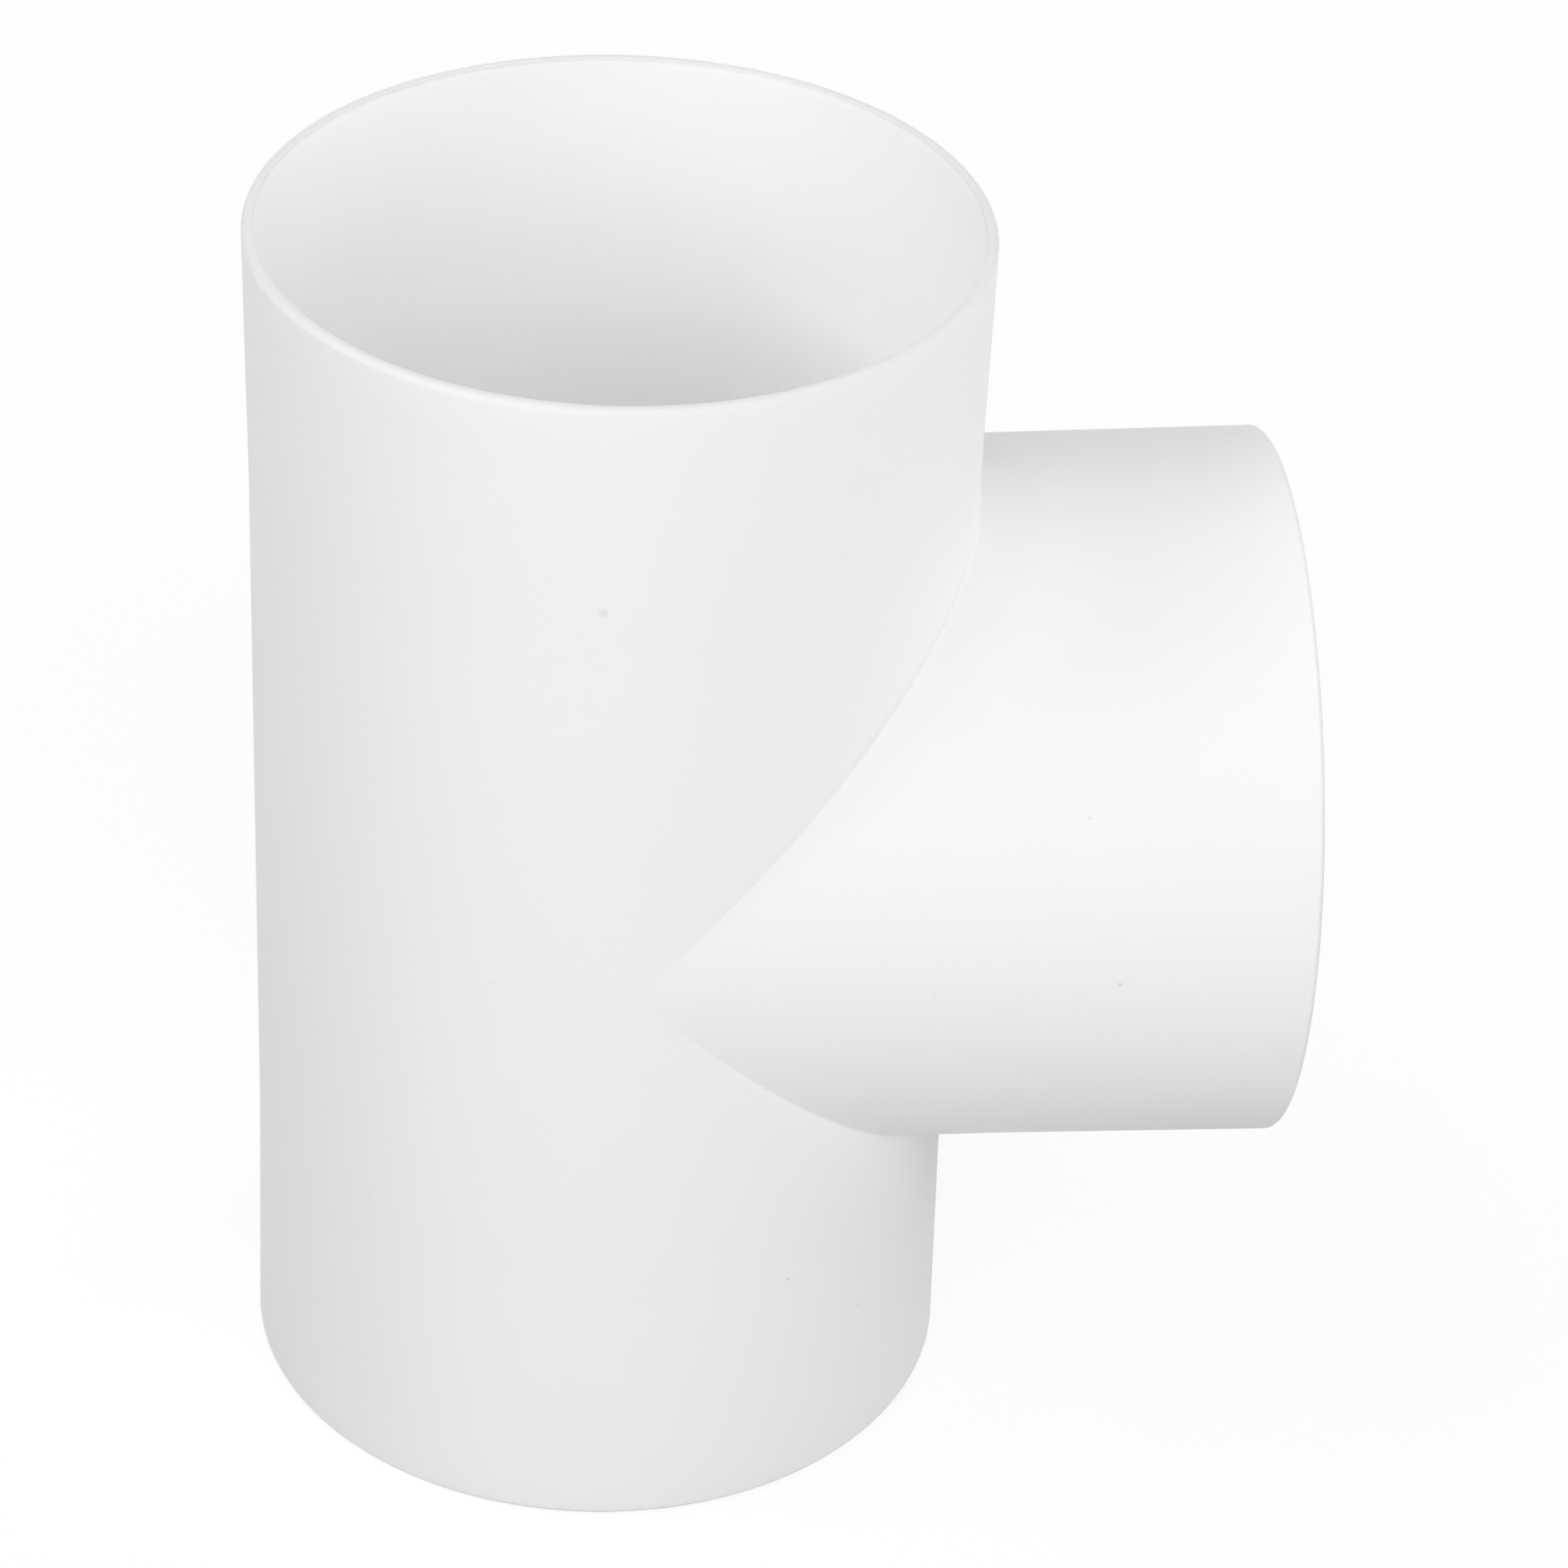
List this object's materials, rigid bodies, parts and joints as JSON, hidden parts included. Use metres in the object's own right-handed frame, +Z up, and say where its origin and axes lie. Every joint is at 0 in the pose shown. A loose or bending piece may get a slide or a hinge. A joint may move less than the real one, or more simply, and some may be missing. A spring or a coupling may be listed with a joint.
{
  "type": "equal duct tee",
  "caption": "Thin-walled equal tee for round ventilation duct: straight run, 90 degree branch of the same size, a plain socket at each mouth.",
  "frame": {"origin": "centre of the bottom mouth, in the plane of its rim", "axes": "+Z up the axis of the run, +X out along the axis of the branch"},
  "size_m": [0.1478, 0.1036, 0.187],
  "materials": {
    "white_plastic": "smooth moulded white, glossy"
  },
  "bodies": {
    "root": {"run_tube": "white_plastic", "branch_tube": "white_plastic", "upper_seam_bead": "white_plastic", "lower_seam_bead": "white_plastic"}
  },
  "joints": []
}
